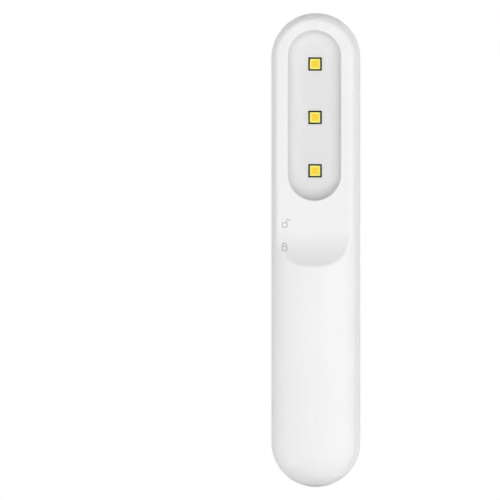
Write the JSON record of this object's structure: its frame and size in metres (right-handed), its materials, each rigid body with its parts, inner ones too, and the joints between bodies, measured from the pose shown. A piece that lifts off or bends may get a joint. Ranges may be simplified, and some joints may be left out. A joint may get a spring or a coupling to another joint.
{
  "type": "uv_sterilizer_wand",
  "caption": "Hand-held UV-C sterilizer wand: white moulded body, push button with ring, UV LEDs in a dished head recess, safety lock slider and charging inlet",
  "frame": {"origin": "On the wand's long axis, in the plane where the body is widest, 40 mm above the bottom end, at the middle of the grip", "axes": "+Z along the wand up to the LED head, +Y out of the LED side, -Y out of the button, +X toward the lock slider"},
  "size_m": [0.03, 0.025, 0.16],
  "materials": {
    "white_shell": "satin moulded",
    "grey_trim": "satin",
    "white_button": "satin moulded",
    "clear_pipe": "clear",
    "white_board": "white solder mask",
    "led_package": "dark ceramic",
    "led_face": "glossy",
    "green_board": "solder mask",
    "steel": "plated",
    "black_plastic": "moulded",
    "lamp_white": "moulded",
    "cell_can": "film-wrapped",
    "foam": "open cell",
    "red_lead": "insulated",
    "black_lead": "insulated"
  },
  "bodies": {
    "housing": {"front_shell": "white_shell", "rear_shell": "white_shell", "button_ring": "grey_trim", "indicator_lens": "clear_pipe", "led_board": "white_board", "uvc_led_upper": "led_package", "uvc_led_middle": "led_package", "uvc_led_lower": "led_package", "led_emitter_upper": "led_face", "led_emitter_middle": "led_face", "led_emitter_lower": "led_face", "main_board": "green_board", "board_screws": "steel", "tact_switch": "black_plastic", "indicator_led": "lamp_white", "slide_switch": "steel", "usb_c_shell": "steel", "usb_c_tongue": "black_plastic", "charger_chip": "black_plastic", "driver_chip": "black_plastic", "boost_inductor": "black_plastic", "battery_connector": "lamp_white", "led_connector": "lamp_white", "battery_cell": "cell_can", "battery_pad": "foam", "battery_lead_red": "red_lead", "battery_lead_black": "black_lead", "led_lead_red": "red_lead", "led_lead_black": "black_lead"},
    "power_button": {"power_button_cap": "white_button", "tact_plunger": "black_plastic"},
    "lock_slider": {"lock_slider_knob": "white_button", "slide_switch_lever": "black_plastic"}
  },
  "joints": [
    {"name": "power_button_press", "type": "slide", "parent": "housing", "child": "power_button", "axis": [0, 1, 0], "range_m": [0, 0.0004], "stiffness_N_per_m": 2000, "springref_m": -0.0005},
    {"name": "lock_slider_slide", "type": "slide", "parent": "housing", "child": "lock_slider", "axis": [0, 0, 1], "range_m": [0, 0.004]}
  ]
}
